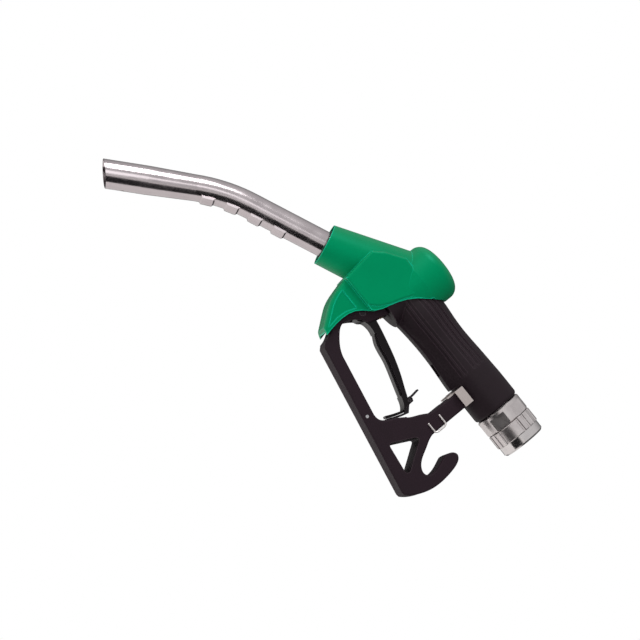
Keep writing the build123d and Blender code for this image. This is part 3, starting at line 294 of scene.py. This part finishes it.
# ---- Hold-open catch, its tooth and the lever's pins: steel, blackened in hot oil.
# Blackened steel is a very dark grey, with paler edges.
oiled, tree, surface, place = new_finish("oil_blackened_steel", Metallic=0.85)
stain = add_node(tree, "ShaderNodeTexNoise", None, {"Vector": place, "Scale": 500.0, "Detail": 5.0})
edge_mask = bevel_edge_mask(tree, width=0.0003, face_level=0.98, edge_level=0.8)
tint = add_node(tree, "ShaderNodeMix", {"data_type": "RGBA"}, {"Factor": edge_mask})
tint.inputs[FIRST_COLOUR].default_value = linear("#2B272B")
tint.inputs[SECOND_COLOUR].default_value = linear("#8A8487")
rough = add_node(tree, "ShaderNodeMapRange", None,
                 {"Value": stain.outputs["Fac"], "To Min": 0.3, "To Max": 0.5})
tree.links.new(tint.outputs[BLEND], surface.inputs["Base Color"])
tree.links.new(rough.outputs[0], surface.inputs["Roughness"])
dress(oiled, "hold_open_catch", "catch_tooth", "lever_pivot_pin", "catch_pin")

# ---- Lever guard: black glass-filled nylon, moulded in one piece with its hook and window.
# Its grain is fine and dull, and its long edges are scraped paler.
nylon, tree, surface, place = new_finish("glass_filled_black_nylon", Specular_IOR_Level=0.22)
fibre = add_node(tree, "ShaderNodeTexNoise", None, {"Vector": place, "Scale": 60.0, "Detail": 6.0})
edge_mask = bevel_edge_mask(tree, width=0.0008, face_level=0.99, edge_level=0.88)
tint = add_node(tree, "ShaderNodeMix", {"data_type": "RGBA"}, {"Factor": fibre.outputs["Fac"]})
tint.inputs[FIRST_COLOUR].default_value = linear("#1A0C15")
tint.inputs[SECOND_COLOUR].default_value = linear("#25141F")
edge_tinted = add_node(tree, "ShaderNodeMix", {"data_type": "RGBA"}, {"Factor": edge_mask})
tree.links.new(tint.outputs[BLEND], edge_tinted.inputs[FIRST_COLOUR])
edge_tinted.inputs[SECOND_COLOUR].default_value = linear("#45383F")
grain = add_node(tree, "ShaderNodeTexNoise", None, {"Vector": place, "Scale": 1300.0, "Detail": 3.0})
rough = add_node(tree, "ShaderNodeMapRange", None,
                 {"Value": fibre.outputs["Fac"], "To Min": 0.60, "To Max": 0.76})
bump = add_node(tree, "ShaderNodeBump", None,
                {"Height": grain.outputs["Fac"], "Strength": 0.18, "Distance": 0.0003})
tree.links.new(edge_tinted.outputs[BLEND], surface.inputs["Base Color"])
tree.links.new(rough.outputs[0], surface.inputs["Roughness"])
tree.links.new(bump.outputs[0], surface.inputs["Normal"])
dress(nylon, "lever_guard")

# ---- Guard bracket: mild steel sheet, folded into a saddle and zinc plated, screwed up under the
# grip. Rolled sheet shows faint lines along it.
sheet, tree, surface, place = new_finish("folded_zinc_sheet", Metallic=1.0)
rolled = add_node(tree, "ShaderNodeTexNoise", None,
                  {"Vector": add_node(tree, "ShaderNodeMapping", None,
                                      {"Vector": place, "Scale": (120, 900, 2500)}).outputs[0],
                   "Scale": 1.0, "Detail": 3.0})
tint = add_node(tree, "ShaderNodeMix", {"data_type": "RGBA"}, {"Factor": rolled.outputs["Fac"]})
tint.inputs[FIRST_COLOUR].default_value = linear("#B4A9A6")
tint.inputs[SECOND_COLOUR].default_value = linear("#D2C9C6")
rough = add_node(tree, "ShaderNodeMapRange", None,
                 {"Value": rolled.outputs["Fac"], "To Min": 0.34, "To Max": 0.50})
tree.links.new(tint.outputs[BLEND], surface.inputs["Base Color"])
tree.links.new(rough.outputs[0], surface.inputs["Roughness"])
dress(sheet, "guard_bracket")

# ---- Studio: a pale paper floor well under the nozzle, and low in front of it a dark flag that only
# reflections see, to draw the band along the spout. The air is white to the camera and dimmer to
# the nozzle, and two soft lamps light it from the front.
bpy.ops.object.select_all(action="DESELECT")
floor_height = -0.58
bpy.ops.mesh.primitive_plane_add(size=8, location=(0, 0, floor_height))
floor = bpy.context.object
floor.name = "studio_floor"
paper_white = linear("#F2F0EE")
paper = new_finish("studio_paper", Roughness=0.9, Base_Color=paper_white,
                   Emission_Color=paper_white, Emission_Strength=0.35)[0]
floor.data.materials.append(paper)
bpy.ops.mesh.primitive_plane_add(size=1, location=(0.05, -0.80, -0.51))
flag = bpy.context.object
flag.name = "studio_flag"
flag.scale = (0.95, 1.25, 1)
bpy.ops.object.transform_apply(location=True, rotation=True, scale=True)
felt = new_finish("studio_black_felt", Roughness=1.0, Base_Color=linear("#121114"))[0]
flag.data.materials.append(felt)
flag.visible_camera = False
flag.visible_shadow = False
flag.visible_diffuse = False

world = bpy.data.worlds.new("studio_air")
bpy.context.scene.world = world
world.use_nodes = True
tree = world.node_tree
tree.nodes.clear()
seen = add_node(tree, "ShaderNodeLightPath")
brightest = (-0.52, -0.72, 0.46)
skyward = add_node(tree, "ShaderNodeVectorMath", {"operation": "DOT_PRODUCT"},
                   {0: add_node(tree, "ShaderNodeTexCoord").outputs["Generated"], 1: brightest})
fade = add_node(tree, "ShaderNodeMapRange", {"interpolation_type": "SMOOTHSTEP"},
                {"Value": skyward.outputs["Value"], "From Min": -0.75, "From Max": 0.75,
                 "To Min": 0.07, "To Max": 0.66})
air = add_node(tree, "ShaderNodeBackground", None, {"Color": (1, 1, 1, 1), "Strength": fade.outputs[0]})
white = add_node(tree, "ShaderNodeBackground", None, {"Color": (1, 1, 1, 1), "Strength": 1.0})
both = add_node(tree, "ShaderNodeMixShader", None, {"Fac": seen.outputs["Is Camera Ray"]})
tree.links.new(air.outputs[0], both.inputs[1])
tree.links.new(white.outputs[0], both.inputs[2])
add_node(tree, "ShaderNodeOutputWorld", None, {"Surface": both.outputs[0]})


def soft_lamp(name, place, aim, size, watts):
    lamp = bpy.data.lights.new(name, "AREA")
    lamp.shape = "RECTANGLE"
    lamp.size, lamp.size_y = size
    lamp.energy = watts
    holder = bpy.data.objects.new(name, lamp)
    holder.location = place
    holder.rotation_euler = (Vector(aim) - Vector(place)).to_track_quat("-Z", "Y").to_euler()
    bpy.context.scene.collection.objects.link(holder)


lamp_aim = (-0.18, 0, -0.05)
soft_lamp("key_softbox", place=(-1.25, -0.75, 0.95), aim=lamp_aim, size=(0.9, 0.5), watts=13)
soft_lamp("front_softbox", place=(-0.5, -1.5, -0.1), aim=lamp_aim, size=(0.5, 0.9), watts=1.6)

camera = bpy.data.cameras.new("studio_camera")
camera.lens = 143.5
camera.sensor_width = 36
eye = bpy.data.objects.new("studio_camera", camera)
bpy.context.scene.collection.objects.link(eye)
aim = Vector((-0.1764, 0.0, -0.0667))
distance = 2.0
azimuth = math.radians(0.4)
elevation = math.radians(12.36)
roll = math.radians(51.1)
forward = Vector((math.sin(azimuth) * math.cos(elevation), math.cos(azimuth) * math.cos(elevation),
                  math.sin(elevation)))
turn = forward.to_track_quat("-Z", "Y").to_matrix() @ Matrix.Rotation(roll, 3, "Z")
eye.matrix_world = Matrix.Translation(aim - forward * distance) @ turn.to_4x4()
bpy.context.scene.camera = eye
bpy.context.scene.view_settings.view_transform = "Standard"
